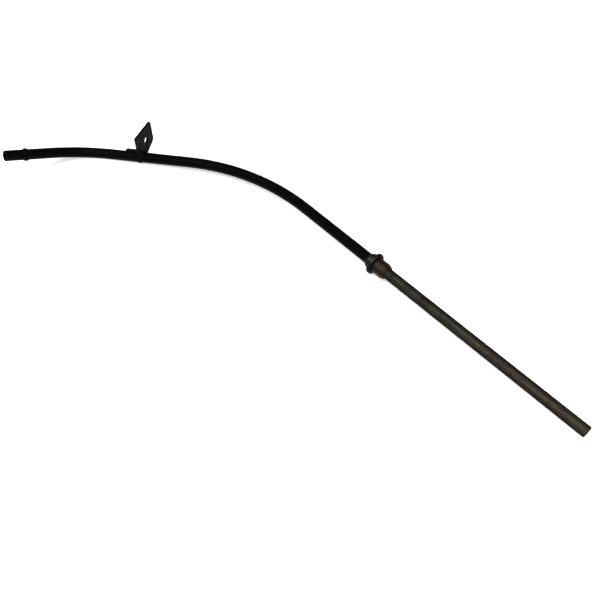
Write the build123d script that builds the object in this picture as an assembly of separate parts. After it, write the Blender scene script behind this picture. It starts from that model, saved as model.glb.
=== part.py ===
from build123d import *
from math import asin, cos, radians, sin
import os

# All sizes are in millimetres and degrees.

# The tube: 3/8 in steel, one length from the mouth to the tip
TUBE_OD = 9.525
TUBE_WALL = 0.9
TIP_ROUND_SHARE = 0.85
MOUTH_ROUND_SHARE = 0.4

# Its route, measured from the seat of the stop collar
SPIGOT_REACH = 206.0
SHANK = 86.0
LONG_BEND_R = 204.0
LONG_BEND_ANGLE = 35.4
UPPER_RUN = 78.0
TOP_BEND_R = 56.0
TOP_BEND_ANGLE = 53.5
TOP_BEND_RISE_ANGLE = 39.4
TOP_RUN = 44.3

# The bead rolled out near the mouth
BEAD_OD = 11.6
BEAD_WIDTH = 5.0
BEAD_FROM_MOUTH = 19.0

# The stop collar brazed on the tube
COLLAR_OD = 19.0
COLLAR_THICKNESS = 3.6
COLLAR_CHAMFER = 0.8
HUB_OD = 13.4
HUB_LENGTH = 2.8
HUB_CONE_LENGTH = 2.8
HUB_LIP = 0.25

# The rubber seal ring under it
SEAL_OD = 13.9
SEAL_ROOT_OD = 13.1
SEAL_LIP_OD = 11.6
SEAL_LENGTH = 12.2
SEAL_BAND_FROM = 2.6
SEAL_BAND = 6.6

# The stamped bracket: a tab notched over the tube, with a sleeve drawn out of the notch
SHEET = 2.3
BRACKET_FROM_MOUTH = 126.9
BRACKET_CLOCK_ANGLE = 6.6
BRACKET_SKEW_ANGLE = 10.1
BRACKET_LEAN_ANGLE = 4.2
TAB_NEAR = 2.0
TAB_FAR = 24.8
TAB_TOP = 23.6
TAB_FAR_LOW = 2.4
TAB_LIP_LOW = 5.0
TAB_LIP_NEAR = 3.0
TAB_LIP_FAR = 8.2
TAB_CORNER_R = 1.4
TAB_LOW_CORNER_R = 3.2
SLEEVE_LENGTH = 11.6
SLEEVE_TOP_ANGLE = 101.0
SLEEVE_LOW_ANGLE = -36.0
SLEEVE_FILLET = 1.1
SLEEVE_CORNER_R = 1.8
BOLT_HOLE_D = 6.6
BOLT_HOLE_OUT = 13.2
BOLT_HOLE_UP = 10.6

# How far round the top bend the tube touches the surface that it lies on
TOUCH_ANGLE = 6.0

TUBE_R = TUBE_OD / 2
BORE_R = TUBE_R - TUBE_WALL
TIP_ROUND = TIP_ROUND_SHARE * TUBE_WALL
MOUTH_ROUND = MOUTH_ROUND_SHARE * TUBE_WALL
COLLAR_R = COLLAR_OD / 2
SLEEVE_R = TUBE_R + SHEET
REACH = 2 * (TAB_TOP + TAB_FAR)


def turned(vector, about, angle):
    """A vector turned by an angle about a direction."""
    return vector.rotate(Axis((0, 0, 0), about), angle)


def on_bend(start, heading, about, radius, angle):
    """The point that a bend reaches after an angle."""
    centre = start + about.cross(heading) * radius
    return centre + turned(start - centre, about, angle)


# The route's stations, with the lower leg on the X axis and the long bend in the XY plane
TIP = Vector(SPIGOT_REACH, 0, 0)
LONG_START = Vector(-SHANK, 0, 0)
SHANK_HEADING = Vector(-1, 0, 0)
UP = Vector(0, 0, 1)
LONG_END = on_bend(LONG_START, SHANK_HEADING, UP, LONG_BEND_R, LONG_BEND_ANGLE)
UPPER_HEADING = turned(SHANK_HEADING, UP, LONG_BEND_ANGLE)
TOP_START = LONG_END + UPPER_HEADING * UPPER_RUN
TOP_AXIS = turned(UP, UPPER_HEADING, TOP_BEND_RISE_ANGLE)
TOP_END = on_bend(TOP_START, UPPER_HEADING, TOP_AXIS, TOP_BEND_R, TOP_BEND_ANGLE)
MOUTH_HEADING = turned(UPPER_HEADING, TOP_AXIS, TOP_BEND_ANGLE)
MOUTH = TOP_END + MOUTH_HEADING * TOP_RUN


def route():
    """The tube's centre line: straight runs joined by tangent arcs."""
    long_middle = on_bend(LONG_START, SHANK_HEADING, UP, LONG_BEND_R, LONG_BEND_ANGLE / 2)
    top_middle = on_bend(TOP_START, UPPER_HEADING, TOP_AXIS, TOP_BEND_R, TOP_BEND_ANGLE / 2)
    return Wire(
        [
            Edge.make_line(TIP, LONG_START),
            Edge.make_three_point_arc(LONG_START, long_middle, LONG_END),
            Edge.make_line(LONG_END, TOP_START),
            Edge.make_three_point_arc(TOP_START, top_middle, TOP_END),
            Edge.make_line(TOP_END, MOUTH),
        ]
    )


def mouth_plane():
    """The mouth's plane, facing out of the tube."""
    return Plane(origin=MOUTH, z_dir=MOUTH_HEADING)


def guide_tube():
    """The bent tube with its bead and its rounded ends."""
    line = route()
    start = Plane(origin=TIP, z_dir=SHANK_HEADING)
    ring = Circle(TUBE_R) - Circle(BORE_R)
    tube = sweep(start * ring, path=line)
    tube += mouth_plane() * Pos(0, 0, -BEAD_FROM_MOUTH) * bead()
    rims = tube.edges().filter_by(GeomType.CIRCLE)
    tip_rim = rims.sort_by_distance(TIP)[0:2].sort_by(SortBy.RADIUS)[-1]
    mouth_rim = rims.sort_by_distance(MOUTH)[0:2].sort_by(SortBy.RADIUS)[-1]
    tube = fillet(tip_rim, TIP_ROUND)
    mouth_rim = tube.edges().filter_by(GeomType.CIRCLE).sort_by_distance(mouth_rim.center())[0:2]
    return fillet(mouth_rim.sort_by(SortBy.RADIUS)[-1], MOUTH_ROUND)


def bead():
    """The bead as a ring round the Z axis, let into the tube's wall."""
    half = BEAD_WIDTH / 2
    root = TUBE_R - TUBE_WALL / 2
    swell = ThreePointArc((TUBE_R, -half), (BEAD_OD / 2, 0), (TUBE_R, half))
    foot = Polyline((TUBE_R, half), (root, half), (root, -half), (TUBE_R, -half))
    section = make_face([swell, foot])
    return revolve(Plane.XZ * section, axis=Axis.Z)


def stop_collar():
    """The turned stop collar: a disc with a coned hub, bored to the tube."""
    hub_end = -COLLAR_THICKNESS - HUB_LENGTH
    cone_end = hub_end - HUB_CONE_LENGTH
    section = Polyline(
        (0, TUBE_R),
        (0, COLLAR_R),
        (-COLLAR_THICKNESS, COLLAR_R),
        (-COLLAR_THICKNESS, HUB_OD / 2),
        (hub_end, HUB_OD / 2),
        (cone_end, TUBE_R + HUB_LIP),
        (cone_end, TUBE_R),
        close=True,
    )
    collar = revolve(make_face(section), axis=Axis.X)
    rims = collar.edges().filter_by(GeomType.CIRCLE).group_by(SortBy.RADIUS)[-1]
    return chamfer(rims, COLLAR_CHAMFER)


def seal_ring():
    """The rubber seal, seated against the collar: a band that tapers off to a lead-in lip."""
    band_end = SEAL_BAND_FROM + SEAL_BAND
    section = Polyline(
        (0, TUBE_R),
        (0, SEAL_ROOT_OD / 2),
        (SEAL_BAND_FROM, SEAL_OD / 2),
        (band_end, SEAL_OD / 2),
        (SEAL_LENGTH, SEAL_LIP_OD / 2),
        (SEAL_LENGTH, TUBE_R),
        close=True,
    )
    return revolve(make_face(section), axis=Axis.X)


def bracket_plane():
    """The tube's own frame at the bracket: X down the tube, Z clocked outwards."""
    top_length = TOP_RUN + radians(TOP_BEND_ANGLE) * TOP_BEND_R
    station = TOP_START - UPPER_HEADING * (BRACKET_FROM_MOUTH - top_length)
    clocked = turned(UP, UPPER_HEADING, BRACKET_CLOCK_ANGLE)
    return Plane(origin=station, x_dir=-UPPER_HEADING, z_dir=clocked)


def tab_plane():
    """The tab's back face in the bracket's frame: X outwards, Y upwards, leaning down the tube."""
    skew = radians(BRACKET_SKEW_ANGLE)
    outwards = Vector(sin(skew), cos(skew), 0)
    facing = turned(Vector(cos(skew), -sin(skew), 0), outwards, BRACKET_LEAN_ANGLE)
    return Plane(origin=(0, 0, 0), x_dir=outwards, z_dir=facing)


def tab_outline():
    """The tab's outline, run on into the notch."""
    inside = TUBE_R / 2
    outline = Polyline(
        (-TAB_NEAR, inside),
        (-TAB_NEAR, TAB_TOP),
        (TAB_FAR, TAB_TOP),
        (TAB_FAR, TAB_FAR_LOW),
        (TAB_LIP_FAR, -TAB_LIP_LOW),
        (TAB_LIP_NEAR, -TAB_LIP_LOW),
        (TAB_LIP_NEAR, -inside),
        close=True,
    )
    face = make_face(outline)
    corners = face.vertices().sort_by(Axis.Y)
    face = fillet(corners[-2:], TAB_CORNER_R)
    low_corner = face.vertices().sort_by_distance((TAB_FAR, TAB_FAR_LOW))[0]
    return fillet(low_corner, TAB_LOW_CORNER_R)


def sleeve():
    """The part-round sleeve along the tube, from its free end to well past the tab."""
    wrap = SLEEVE_TOP_ANGLE - SLEEVE_LOW_ANGLE
    section = Polyline(
        (TAB_TOP, TUBE_R),
        (TAB_TOP, SLEEVE_R),
        (-SLEEVE_LENGTH, SLEEVE_R),
        (-SLEEVE_LENGTH, TUBE_R),
        close=True,
    )
    wrapped = revolve(make_face(section), axis=Axis.X, revolution_arc=wrap)
    corners = wrapped.edges().filter_by(GeomType.LINE).group_by(Axis.X)[0]
    return Rot(SLEEVE_LOW_ANGLE, 0, 0) * fillet(corners, SLEEVE_CORNER_R)


def mounting_bracket():
    """The bracket in its own frame: tab and sleeve in one sheet, notched to the tube."""
    tab = extrude(tab_plane() * tab_outline(), SHEET)
    beyond = extrude(tab_plane() * Pos(0, 0, SHEET) * Circle(REACH), REACH)
    bracket = tab + (sleeve() - beyond)
    bracket -= Rot(0, 90, 0) * Cylinder(TUBE_R, REACH)
    hole = Pos(BOLT_HOLE_OUT, BOLT_HOLE_UP, 0) * Cylinder(BOLT_HOLE_D / 2, REACH)
    bracket -= tab_plane() * hole
    root = bracket.edges().filter_by(GeomType.ELLIPSE).sort_by(SortBy.LENGTH)[-1]
    return fillet(root, SLEEVE_FILLET)


def lying():
    """The tilt at which the part lies on its tip, its collar and its top bend."""
    pitch = asin((COLLAR_R - TUBE_R) / SPIGOT_REACH)
    touch = on_bend(TOP_START, UPPER_HEADING, TOP_AXIS, TOP_BEND_R, TOUCH_ANGLE)
    lift = COLLAR_R - TUBE_R - touch.X * sin(pitch) + touch.Z * cos(pitch)
    roll = asin(lift / (-touch.Y * cos(pitch)))
    along = Vector(cos(pitch), 0, -sin(pitch))
    level = Vector(sin(pitch), 0, cos(pitch))
    across = Vector(0, 1, 0)
    upright = level * cos(roll) - across * sin(roll)
    return Plane(origin=(0, 0, 0), x_dir=along, z_dir=upright).location


def pieces():
    """Every piece where it lies, with the origin under the middle of the whole."""
    made = {
        "guide_tube": guide_tube(),
        "stop_collar": stop_collar(),
        "seal_ring": seal_ring(),
        "mounting_bracket": bracket_plane().location * mounting_bracket(),
    }
    lain = {name: lying() * piece for name, piece in made.items()}
    box = Compound(list(lain.values())).bounding_box()
    ground = Pos(-box.center().X, -box.center().Y, -box.min.Z)
    return {name: ground * piece for name, piece in lain.items()}


if __name__ == "__main__":
    os.makedirs("parts", exist_ok=True)
    for name, piece in pieces().items():
        export_step(piece, f"parts/{name}.step")
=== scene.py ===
from math import cos, pi, radians, sin, tan, tau

import bmesh
import bpy
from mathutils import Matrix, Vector, noise


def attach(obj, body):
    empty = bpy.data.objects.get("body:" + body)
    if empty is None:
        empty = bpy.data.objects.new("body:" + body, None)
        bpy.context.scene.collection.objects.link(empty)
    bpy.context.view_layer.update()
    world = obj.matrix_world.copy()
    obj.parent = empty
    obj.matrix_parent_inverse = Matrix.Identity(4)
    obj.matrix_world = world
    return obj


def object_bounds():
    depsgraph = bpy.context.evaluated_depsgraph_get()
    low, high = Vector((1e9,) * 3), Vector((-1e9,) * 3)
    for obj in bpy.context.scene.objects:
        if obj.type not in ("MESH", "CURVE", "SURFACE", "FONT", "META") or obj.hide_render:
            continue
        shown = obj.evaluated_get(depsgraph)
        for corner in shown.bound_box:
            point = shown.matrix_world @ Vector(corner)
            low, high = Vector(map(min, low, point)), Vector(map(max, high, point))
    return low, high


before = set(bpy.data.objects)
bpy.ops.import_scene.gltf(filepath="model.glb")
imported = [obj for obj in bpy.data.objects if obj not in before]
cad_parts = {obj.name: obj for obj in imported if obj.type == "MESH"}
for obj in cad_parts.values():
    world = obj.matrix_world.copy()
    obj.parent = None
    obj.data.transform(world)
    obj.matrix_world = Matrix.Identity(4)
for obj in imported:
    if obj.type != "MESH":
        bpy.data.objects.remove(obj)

CAD_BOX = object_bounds()

# Lengths are in metres, in the part's own frame. Colours are linear.

# The camera, at the photograph's viewing angle
CAMERA_PLACE = (0.2953, -0.2381, 0.4848)
CAMERA_TILT = 37.12
CAMERA_TURN = 46.94
CAMERA_LENS = 45.0
CAMERA_SENSOR = 36.0

# Where the paint ends, under the stop collar
PAINT_END = 0.0455
PAINT_FADE = 0.0008

# The direction that the lit side of the bare leg, the collar and the seal faces: colours are lighter
# there, the other sides get painted shade, and the seal a painted highlight
LIT_SIDE = (0.15, -0.48, 0.86)

# The paint on the tube: colours, features per metre, and the part of the noise that shows them
PAINT_DARK = (0.0008, 0.0010, 0.0010)
PAINT_DUSTY = (0.0015, 0.0018, 0.0019)
PAINT_SPECK = (0.012, 0.012, 0.011)
PAINT_CLOUDS = 45.0
PAINT_CLOUD_WINDOW = (0.40, 0.72)
PAINT_SPECKS = 900.0
PAINT_SPECK_WINDOW = (0.70, 0.76)
PAINT_PEEL = 650.0
PAINT_GLOSS_PATCHES = 160.0
PAINT_ROUGHNESS = (0.42, 0.54)

# The bare leg: olive by the collar, brown by the tip
OLIVE_DARK = (0.0150, 0.0156, 0.0118)
OLIVE_LIGHT = (0.0290, 0.0300, 0.0228)
BROWN_DARK = (0.0185, 0.0158, 0.0115)
BROWN_LIGHT = (0.0410, 0.0350, 0.0264)
OLIVE_TO_BROWN = (0.08, 0.22)
LEG_DRAWN = (0.05, 1.0, 1.0)
LEG_STREAKS = 700.0
LEG_STREAK_WINDOW = (0.30, 0.72)
LEG_STAIN = (0.0125, 0.0115, 0.0080)
LEG_STAINS = 120.0
LEG_STAIN_WINDOW = (0.46, 0.70)
LEG_RUST = (0.0390, 0.0215, 0.0145)
LEG_RUST_SPOTS = 190.0
LEG_RUST_WINDOW = (0.51, 0.66)
RUST_FROM_TO = (0.10, 0.25)
RUST_SHARE = (0.2, 0.9)
# Painted shade: the bare leg's colour on the sides that face away from the lamp, and the window over which
# it fades in
LEG_PAINTED_SHADE = (0.0100, 0.0094, 0.0066)
LEG_LIT_WINDOW = (0.50, 0.96)
LEG_GRAIN_DRAWN = (0.08, 1.0, 1.0)
LEG_GRAIN = 2200.0
LEG_GLOSS_PATCHES = 260.0
LEG_ROUGHNESS = (0.46, 0.64)
LEG_METALLIC = 0.55
GLOSS_WINDOW = (0.3, 0.7)
TUBE_BUMP = 0.00006
TUBE_SPECULAR = 0.03
DULL_TINT = (0.45, 0.45, 0.43, 1.0)

# The collar
# The steel colour on the collar's lit side, a stain colour, and painted shade for the sides away from the
# lamp
COLLAR_LIT_STEEL = (0.0210, 0.0225, 0.0165)
COLLAR_STAIN = (0.0120, 0.0130, 0.0090)
COLLAR_PAINTED_SHADE = (0.0040, 0.0045, 0.0028)
COLLAR_LIT_WINDOW = (0.55, 1.0)
COLLAR_STAINS = 260.0
COLLAR_STAIN_WINDOW = (0.38, 0.66)
COLLAR_TURNED = (1.0, 0.04, 0.04)
COLLAR_TURNING = 4200.0
COLLAR_ROUGHNESS = (0.34, 0.55)
COLLAR_METALLIC = 0.6
COLLAR_SPECULAR = 0.1
COLLAR_BUMP = 0.00004

# The seal
RUBBER_DARK = (0.0105, 0.0040, 0.0024)
RUBBER_LIGHT = (0.0170, 0.0068, 0.0042)
SEAL_BLOOM = 330.0
SEAL_BLOOM_WINDOW = (0.35, 0.70)
# Painted highlight: a grey colour on the seal's side that faces the lamp, its window, and its share broken
# up by the bloom noise
SEAL_PAINTED_HIGHLIGHT = (0.0230, 0.0230, 0.0165)
SEAL_LIT_WINDOW = (0.80, 1.0)
SEAL_HIGHLIGHT_SHARE = (0.45, 0.95)
SEAL_SKIN = 3000.0
SEAL_ROUGHNESS = (0.30, 0.44)
SEAL_SPECULAR = 0.1
SEAL_BUMP = 0.00004

# The bracket and its weld
BRACKET_DARK = (0.0010, 0.0017, 0.0013)
BRACKET_GREY = (0.0026, 0.0038, 0.0031)
BRACKET_RUBBED = (0.0080, 0.0088, 0.0084)
BRACKET_CLOUDS = 150.0
BRACKET_CLOUD_WINDOW = (0.35, 0.70)
BRACKET_EDGE_WINDOW = (0.52, 0.60)
BRACKET_RUBS = 600.0
BRACKET_RUB_WINDOW = (0.42, 0.62)
BRACKET_PEEL = 800.0
BRACKET_ROUGHNESS = (0.40, 0.56)
BRACKET_SPECULAR = 0.015
BRACKET_BUMP = 0.00008
WELD_DARK = (0.0020, 0.0022, 0.0016)
WELD_PALE = (0.0046, 0.0047, 0.0034)
WELD_SCALE = 500.0
WELD_SCALE_WINDOW = (0.35, 0.65)
WELD_ROUGHNESS = 0.55
WELD_SPECULAR = 0.03

# The bracket's frame on the tube: its station, and the directions down the tube, across it and upwards
BRACKET_STATION = Vector((-0.194158, 0.013589, 0.006632))
BRACKET_DOWN = Vector((0.81664, 0.57440, 0.05625))
BRACKET_ACROSS = Vector((-0.57550, 0.81779, 0.00413))
BRACKET_UP = Vector((-0.04363, -0.03574, 0.99841))
BRACKET_SKEW = 10.1
BRACKET_LEAN = 4.2
SHEET = 0.0023
TUBE_R = 0.0047625

# The weld along the front of the bracket
WELD_HALF_WIDTH = 0.0027
WELD_HEIGHT = 0.0008
WELD_SINK = 0.00035
WELD_FROM = -20.0
WELD_TO = 218.0
WELD_STEPS = 150
WELD_SIDES = 14
WELD_RIPPLES = 32
WELD_RIPPLE_DEPTH = 0.12
WELD_LUMP = 0.16
WELD_LUMPS = 700.0
WELD_END_SHARE = 0.05
WELD_END_POWER = 0.25

# The lights and the floor
FLOOR_SIZE = 40.0
WORLD_STRENGTH = 0.10
FLOOR_COLOUR = (0.82, 0.82, 0.82, 1.0)
FLOOR_ROUGHNESS = 0.9
FLOOR_GLOW = 0.45
WHITE = (1.0, 1.0, 1.0, 1.0)
OVERHEAD_PLACE = (0.0, -0.45, 1.1)
OVERHEAD_SIZE = 1.0
OVERHEAD_POWER = 26.0
SIDE_PLACE = (1.2, 0.3, 0.7)
SIDE_SIZE = 0.6
SIDE_POWER = 8.0

# Socket numbers of the mix node, for values and for colours
MIX_VALUES = (2, 3)
MIX_VALUE_OUT = 0
MIX_COLOURS = (6, 7)
MIX_COLOUR_OUT = 2


def new_material(name):
    """A material with a Principled shader, and its node tree."""
    material = bpy.data.materials.new(name)
    material.use_nodes = True
    tree = material.node_tree
    shader = tree.nodes["Principled BSDF"]
    return material, tree, shader


def place(tree):
    """The point on the surface in the part's frame."""
    return tree.nodes.new("ShaderNodeTexCoord").outputs["Object"]


def stretched(tree, vector, scale):
    """A point scaled by its own factor along each axis."""
    mapping = tree.nodes.new("ShaderNodeMapping")
    mapping.inputs["Scale"].default_value = scale
    tree.links.new(vector, mapping.inputs["Vector"])
    return mapping.outputs["Vector"]


def noise_field(tree, vector, scale, detail=4.0, roughness=0.55):
    """A noise value from 0 to 1, with its features given per metre."""
    node = tree.nodes.new("ShaderNodeTexNoise")
    node.inputs["Scale"].default_value = scale
    node.inputs["Detail"].default_value = detail
    node.inputs["Roughness"].default_value = roughness
    tree.links.new(vector, node.inputs["Vector"])
    return node.outputs["Fac"]


def ranged(tree, value, low, high, to_low=0.0, to_high=1.0):
    """A value moved from one range to another, smoothly and held at its ends."""
    node = tree.nodes.new("ShaderNodeMapRange")
    node.interpolation_type = "SMOOTHSTEP"
    node.inputs["From Min"].default_value = low
    node.inputs["From Max"].default_value = high
    node.inputs["To Min"].default_value = to_low
    node.inputs["To Max"].default_value = to_high
    tree.links.new(value, node.inputs["Value"])
    return node.outputs["Result"]


def product(tree, first, second):
    """Two values multiplied."""
    node = tree.nodes.new("ShaderNodeMath")
    node.operation = "MULTIPLY"
    tree.links.new(first, node.inputs[0])
    tree.links.new(second, node.inputs[1])
    return node.outputs["Value"]


def mixed(tree, factor, first, second):
    """Two colours mixed by a factor. Each is a colour or another node's output."""
    node = tree.nodes.new("ShaderNodeMix")
    node.data_type = "RGBA"
    tree.links.new(factor, node.inputs["Factor"])
    for value, number in zip((first, second), MIX_COLOURS):
        socket = node.inputs[number]
        if isinstance(value, tuple):
            socket.default_value = (*value, 1.0)
        else:
            tree.links.new(value, socket)
    return node.outputs[MIX_COLOUR_OUT]


def blended(tree, factor, first, second):
    """Two values mixed by a factor."""
    node = tree.nodes.new("ShaderNodeMix")
    tree.links.new(factor, node.inputs["Factor"])
    for value, number in zip((first, second), MIX_VALUES):
        tree.links.new(value, node.inputs[number])
    return node.outputs[MIX_VALUE_OUT]


def bumped(tree, height, distance, strength=1.0):
    """A normal from a height."""
    node = tree.nodes.new("ShaderNodeBump")
    node.inputs["Strength"].default_value = strength
    node.inputs["Distance"].default_value = distance
    tree.links.new(height, node.inputs["Height"])
    return node.outputs["Normal"]


def along_x(tree, vector):
    """The point's X."""
    node = tree.nodes.new("ShaderNodeSeparateXYZ")
    tree.links.new(vector, node.inputs["Vector"])
    return node.outputs["X"]


def facing(tree, direction):
    """How far the surface faces a direction, from -1 to 1."""
    node = tree.nodes.new("ShaderNodeVectorMath")
    node.operation = "DOT_PRODUCT"
    node.inputs[1].default_value = direction
    tree.links.new(tree.nodes.new("ShaderNodeNewGeometry").outputs["Normal"], node.inputs[0])
    return node.outputs["Value"]


def paint_colour(tree, point):
    """Black paint with a faint dusty cloud and a few worn specks."""
    cloud = ranged(tree, noise_field(tree, point, PAINT_CLOUDS), *PAINT_CLOUD_WINDOW)
    dusty = mixed(tree, cloud, PAINT_DARK, PAINT_DUSTY)
    specks = ranged(tree, noise_field(tree, point, PAINT_SPECKS, detail=2.0), *PAINT_SPECK_WINDOW)
    return mixed(tree, specks, dusty, PAINT_SPECK)


def bare_colour(tree, point):
    """Bare steel: olive by the collar, browner and rusty towards the tip, with painted shade on its sides
    that face away from the lamp.
    """
    drawn = stretched(tree, point, LEG_DRAWN)
    streaks = ranged(tree, noise_field(tree, drawn, LEG_STREAKS, detail=5.0), *LEG_STREAK_WINDOW)
    olive = mixed(tree, streaks, OLIVE_DARK, OLIVE_LIGHT)
    brown = mixed(tree, streaks, BROWN_DARK, BROWN_LIGHT)
    steel = mixed(tree, ranged(tree, along_x(tree, point), *OLIVE_TO_BROWN), olive, brown)
    stain = ranged(tree, noise_field(tree, point, LEG_STAINS, detail=6.0), *LEG_STAIN_WINDOW)
    stained = mixed(tree, stain, steel, LEG_STAIN)
    low_end = ranged(tree, along_x(tree, point), *RUST_FROM_TO, *RUST_SHARE)
    spots = noise_field(tree, point, LEG_RUST_SPOTS, detail=7.0, roughness=0.65)
    blotch = ranged(tree, spots, *LEG_RUST_WINDOW)
    rusted = mixed(tree, product(tree, blotch, low_end), stained, LEG_RUST)
    # Painted shade: the leg is darker on its sides that face away from the lamp and keeps its steel colour
    # where it faces the lamp
    lit_side_and_rubbed_edges = ranged(tree, facing(tree, LIT_SIDE), *LEG_LIT_WINDOW)
    return mixed(tree, lit_side_and_rubbed_edges, LEG_PAINTED_SHADE, rusted)


def tube_material():
    """The tube: painted above the collar, bare below it."""
    material, tree, shader = new_material("tube_paint_and_steel")
    point = place(tree)
    bare = ranged(tree, along_x(tree, point), PAINT_END, PAINT_END + PAINT_FADE)
    colour = mixed(tree, bare, paint_colour(tree, point), bare_colour(tree, point))
    peel = noise_field(tree, point, PAINT_PEEL, detail=2.0)
    grain = noise_field(tree, stretched(tree, point, LEG_GRAIN_DRAWN), LEG_GRAIN)
    paint_patches = noise_field(tree, point, PAINT_GLOSS_PATCHES)
    paint_gloss = ranged(tree, paint_patches, *GLOSS_WINDOW, *PAINT_ROUGHNESS)
    steel_patches = noise_field(tree, point, LEG_GLOSS_PATCHES, detail=6.0)
    steel_gloss = ranged(tree, steel_patches, *GLOSS_WINDOW, *LEG_ROUGHNESS)
    tree.links.new(colour, shader.inputs["Base Color"])
    tree.links.new(ranged(tree, bare, 0.0, 1.0, 0.0, LEG_METALLIC), shader.inputs["Metallic"])
    tree.links.new(blended(tree, bare, paint_gloss, steel_gloss), shader.inputs["Roughness"])
    tree.links.new(bumped(tree, blended(tree, bare, peel, grain), TUBE_BUMP), shader.inputs["Normal"])
    shader.inputs["Specular IOR Level"].default_value = TUBE_SPECULAR
    shader.inputs["Specular Tint"].default_value = DULL_TINT
    return material


def collar_material():
    """The turned collar: dull plated steel with turning marks, dark with painted shade except on the side
    that faces the lamp.
    """
    material, tree, shader = new_material("collar_plated_steel")
    point = place(tree)
    stain = ranged(tree, noise_field(tree, point, COLLAR_STAINS, detail=6.0), *COLLAR_STAIN_WINDOW)
    stained = mixed(tree, stain, COLLAR_LIT_STEEL, COLLAR_STAIN)
    # Painted shade: the collar is dark except on the side that faces the lamp
    lit_side_and_rubbed_edges = ranged(tree, facing(tree, LIT_SIDE), *COLLAR_LIT_WINDOW)
    colour = mixed(tree, lit_side_and_rubbed_edges, COLLAR_PAINTED_SHADE, stained)
    turning = noise_field(tree, stretched(tree, point, COLLAR_TURNED), COLLAR_TURNING, detail=3.0)
    tree.links.new(colour, shader.inputs["Base Color"])
    tree.links.new(ranged(tree, stain, 0.0, 1.0, *COLLAR_ROUGHNESS), shader.inputs["Roughness"])
    tree.links.new(bumped(tree, turning, COLLAR_BUMP), shader.inputs["Normal"])
    shader.inputs["Metallic"].default_value = COLLAR_METALLIC
    shader.inputs["Specular IOR Level"].default_value = COLLAR_SPECULAR
    shader.inputs["Specular Tint"].default_value = DULL_TINT
    return material


def seal_material():
    """The seal: brown rubber with a moulded skin, and a painted grey highlight on its upper side, where it
    faces the lamp.
    """
    material, tree, shader = new_material("seal_brown_rubber")
    point = place(tree)
    bloom = ranged(tree, noise_field(tree, point, SEAL_BLOOM, detail=5.0), *SEAL_BLOOM_WINDOW)
    rubber = mixed(tree, bloom, RUBBER_DARK, RUBBER_LIGHT)
    # Painted highlight: the seal turns grey on the side that faces the lamp
    upper = ranged(tree, facing(tree, LIT_SIDE), *SEAL_LIT_WINDOW)
    painted_highlight = product(tree, upper, ranged(tree, bloom, 0.0, 1.0, *SEAL_HIGHLIGHT_SHARE))
    colour = mixed(tree, painted_highlight, rubber, SEAL_PAINTED_HIGHLIGHT)
    skin = noise_field(tree, point, SEAL_SKIN, detail=3.0)
    tree.links.new(colour, shader.inputs["Base Color"])
    tree.links.new(ranged(tree, bloom, 0.0, 1.0, *SEAL_ROUGHNESS), shader.inputs["Roughness"])
    tree.links.new(bumped(tree, skin, SEAL_BUMP), shader.inputs["Normal"])
    shader.inputs["Specular IOR Level"].default_value = SEAL_SPECULAR
    shader.inputs["Specular Tint"].default_value = DULL_TINT
    return material


def bracket_material():
    """The bracket: the tube's black paint, greyed and rubbed along its edges."""
    material, tree, shader = new_material("bracket_worn_paint")
    point = place(tree)
    cloud = ranged(tree, noise_field(tree, point, BRACKET_CLOUDS, detail=5.0), *BRACKET_CLOUD_WINDOW)
    greyed = mixed(tree, cloud, BRACKET_DARK, BRACKET_GREY)
    geometry = tree.nodes.new("ShaderNodeNewGeometry")
    edge = ranged(tree, geometry.outputs["Pointiness"], *BRACKET_EDGE_WINDOW)
    lit_side_and_rubbed_edges = product(tree, edge, ranged(tree, noise_field(tree, point, BRACKET_RUBS), *BRACKET_RUB_WINDOW))
    peel = noise_field(tree, point, BRACKET_PEEL, detail=3.0)
    tree.links.new(mixed(tree, lit_side_and_rubbed_edges, greyed, BRACKET_RUBBED), shader.inputs["Base Color"])
    tree.links.new(ranged(tree, cloud, 0.0, 1.0, *BRACKET_ROUGHNESS), shader.inputs["Roughness"])
    tree.links.new(bumped(tree, peel, BRACKET_BUMP), shader.inputs["Normal"])
    shader.inputs["Specular IOR Level"].default_value = BRACKET_SPECULAR
    shader.inputs["Specular Tint"].default_value = DULL_TINT
    return material


def weld_material():
    """The weld: filler metal under the black paint, dulled by scale."""
    material, tree, shader = new_material("weld_painted")
    scale = ranged(tree, noise_field(tree, place(tree), WELD_SCALE, detail=5.0), *WELD_SCALE_WINDOW)
    colour = mixed(tree, scale, WELD_DARK, WELD_PALE)
    tree.links.new(colour, shader.inputs["Base Color"])
    shader.inputs["Roughness"].default_value = WELD_ROUGHNESS
    shader.inputs["Specular IOR Level"].default_value = WELD_SPECULAR
    shader.inputs["Specular Tint"].default_value = DULL_TINT
    return material


def dress(node, material):
    """A material on every slot of a CAD node."""
    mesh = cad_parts[node].data
    mesh.materials.clear()
    mesh.materials.append(material)


def weld_point(angle):
    """The middle of the weld where the bracket's front face crosses the tube, at an angle round it."""
    across = BRACKET_ACROSS * cos(radians(angle)) + BRACKET_UP * sin(radians(angle))
    face = SHEET / cos(radians(BRACKET_SKEW))
    skew = TUBE_R * cos(radians(angle)) * tan(radians(BRACKET_SKEW))
    lean = TUBE_R * sin(radians(angle)) * tan(radians(BRACKET_LEAN))
    foot = BRACKET_STATION + across * TUBE_R + BRACKET_DOWN * (face + skew + lean)
    return foot + (BRACKET_DOWN + across) * WELD_SINK, across


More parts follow.
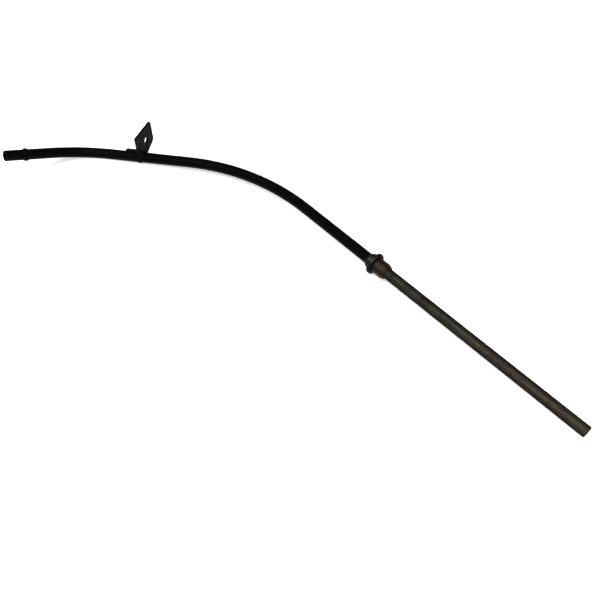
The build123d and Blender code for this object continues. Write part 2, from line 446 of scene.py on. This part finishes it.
def bracket_weld(material):
    """The weld along the front of the bracket: a lumpy, rippled bead with closed ends."""
    weld = bmesh.new()
    rings = []
    for step in range(WELD_STEPS + 1):
        share = step / WELD_STEPS
        middle, across = weld_point(WELD_FROM + (WELD_TO - WELD_FROM) * share)
        ripple = 1 + WELD_RIPPLE_DEPTH * sin(tau * WELD_RIPPLES * share)
        lump = 1 + WELD_LUMP * noise.noise(middle * WELD_LUMPS)
        swell = ripple * lump * max(WELD_END_SHARE, sin(pi * share)) ** WELD_END_POWER
        ring = []
        for side in range(WELD_SIDES):
            turn = tau * side / WELD_SIDES
            offset = across * cos(turn) * WELD_HEIGHT + BRACKET_DOWN * sin(turn) * WELD_HALF_WIDTH
            ring.append(weld.verts.new(middle + offset * swell))
        rings.append(ring)
    for ring, following in zip(rings, rings[1:]):
        for side in range(WELD_SIDES):
            after = (side + 1) % WELD_SIDES
            weld.faces.new((ring[side], ring[after], following[after], following[side]))
    weld.faces.new(reversed(rings[0]))
    weld.faces.new(rings[-1])
    bmesh.ops.recalc_face_normals(weld, faces=weld.faces)
    mesh = bpy.data.meshes.new("bracket_weld")
    weld.to_mesh(mesh)
    weld.free()
    mesh.shade_smooth()
    mesh.materials.append(material)
    piece = bpy.data.objects.new("bracket_weld", mesh)
    bpy.context.collection.objects.link(piece)
    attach(piece, "root")


def floor():
    """A white floor that keeps the part's shadow."""
    material, tree, shader = new_material("floor_white")
    shader.inputs["Base Color"].default_value = FLOOR_COLOUR
    shader.inputs["Roughness"].default_value = FLOOR_ROUGHNESS
    shader.inputs["Specular IOR Level"].default_value = 0.0
    shader.inputs["Emission Color"].default_value = WHITE
    tree.links.new(seen_directly(tree, FLOOR_GLOW), shader.inputs["Emission Strength"])
    mesh = bpy.data.meshes.new("floor")
    half = FLOOR_SIZE / 2
    corners = [(-half, -half, 0), (half, -half, 0), (half, half, 0), (-half, half, 0)]
    mesh.from_pydata(corners, [], [(0, 1, 2, 3)])
    mesh.materials.append(material)
    piece = bpy.data.objects.new("floor", mesh)
    piece.location.z = CAD_BOX[0].z
    bpy.context.collection.objects.link(piece)


def seen_directly(tree, strength):
    """A strength for rays from the camera, from gloss and through glass, and none for the rest."""
    path = tree.nodes.new("ShaderNodeLightPath")
    total = path.outputs["Is Camera Ray"]
    for kind in ("Is Glossy Ray", "Is Transmission Ray"):
        node = tree.nodes.new("ShaderNodeMath")
        node.operation = "MAXIMUM"
        tree.links.new(total, node.inputs[0])
        tree.links.new(path.outputs[kind], node.inputs[1])
        total = node.outputs["Value"]
    return ranged(tree, total, 0.0, 1.0, 0.0, strength)


def area_light(name, location, size, power):
    """A soft square lamp facing the frame's origin."""
    data = bpy.data.lights.new(name, "AREA")
    data.size = size
    data.energy = power
    lamp = bpy.data.objects.new(name, data)
    lamp.location = location
    lamp.rotation_euler = (-Vector(location)).to_track_quat("-Z", "Y").to_euler()
    bpy.context.collection.objects.link(lamp)


def lights():
    """A plain grey world, a broad lamp above and a weaker one from the tip's side."""
    world = bpy.data.worlds.new("studio")
    bpy.context.scene.world = world
    world.use_nodes = True
    background = world.node_tree.nodes["Background"]
    background.inputs["Color"].default_value = WHITE
    background.inputs["Strength"].default_value = WORLD_STRENGTH
    area_light("overhead", OVERHEAD_PLACE, OVERHEAD_SIZE, OVERHEAD_POWER)
    area_light("side", SIDE_PLACE, SIDE_SIZE, SIDE_POWER)


def camera():
    """The camera at the photograph's viewing angle."""
    data = bpy.data.cameras.new("camera")
    data.lens = CAMERA_LENS
    data.sensor_width = CAMERA_SENSOR
    eye = bpy.data.objects.new("camera", data)
    eye.location = CAMERA_PLACE
    eye.rotation_euler = (radians(CAMERA_TILT), 0.0, radians(CAMERA_TURN))
    bpy.context.collection.objects.link(eye)
    bpy.context.scene.camera = eye


dress("guide_tube", tube_material())
dress("stop_collar", collar_material())
dress("seal_ring", seal_material())
dress("mounting_bracket", bracket_material())
bracket_weld(weld_material())
floor()
lights()
camera()
bpy.context.scene.view_settings.view_transform = "Standard"
